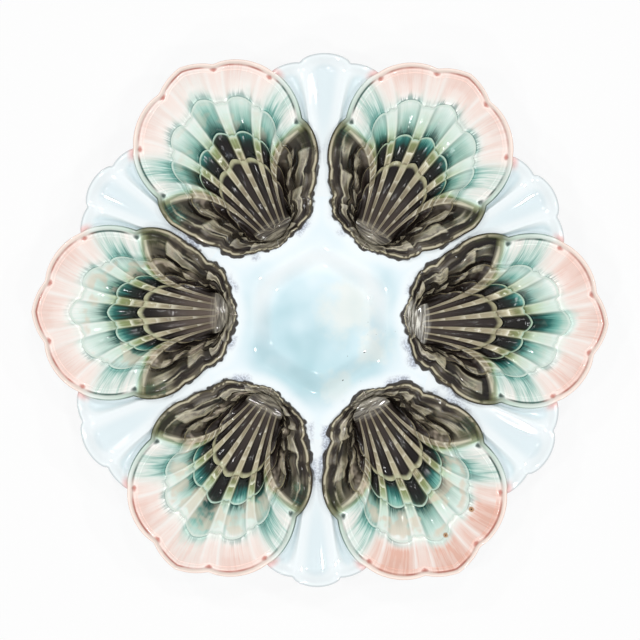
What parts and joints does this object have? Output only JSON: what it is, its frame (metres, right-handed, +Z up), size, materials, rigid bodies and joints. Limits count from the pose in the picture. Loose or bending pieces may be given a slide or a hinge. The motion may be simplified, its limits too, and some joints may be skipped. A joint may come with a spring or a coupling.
{
  "type": "oyster plate",
  "caption": "Glazed earthenware oyster plate with scallop-shell wells round a six-sided centre dish, ribbed fans at the rim and a foot ring.",
  "frame": {"origin": "centre of the plate on the table, in the plane of the foot ring's lower face", "axes": "+Z up from the table, +X towards the tip of the first shell, which is the picture's right, +Y the picture's top"},
  "size_m": [0.2566, 0.2385, 0.0271],
  "materials": {
    "shell_glaze": "gloss",
    "ground_glaze": "gloss",
    "foot_glaze": "satin"
  },
  "bodies": {
    "root": {"centre_dish": "ground_glaze", "foot_ring": "foot_glaze", "shell_well_1": "shell_glaze", "shell_well_2": "shell_glaze", "shell_well_3": "shell_glaze", "shell_well_4": "shell_glaze", "shell_well_5": "shell_glaze", "shell_well_6": "shell_glaze", "rim_fan_1": "ground_glaze", "rim_fan_2": "ground_glaze", "rim_fan_3": "ground_glaze", "rim_fan_4": "ground_glaze", "rim_fan_5": "ground_glaze", "rim_fan_6": "ground_glaze"}
  },
  "joints": []
}
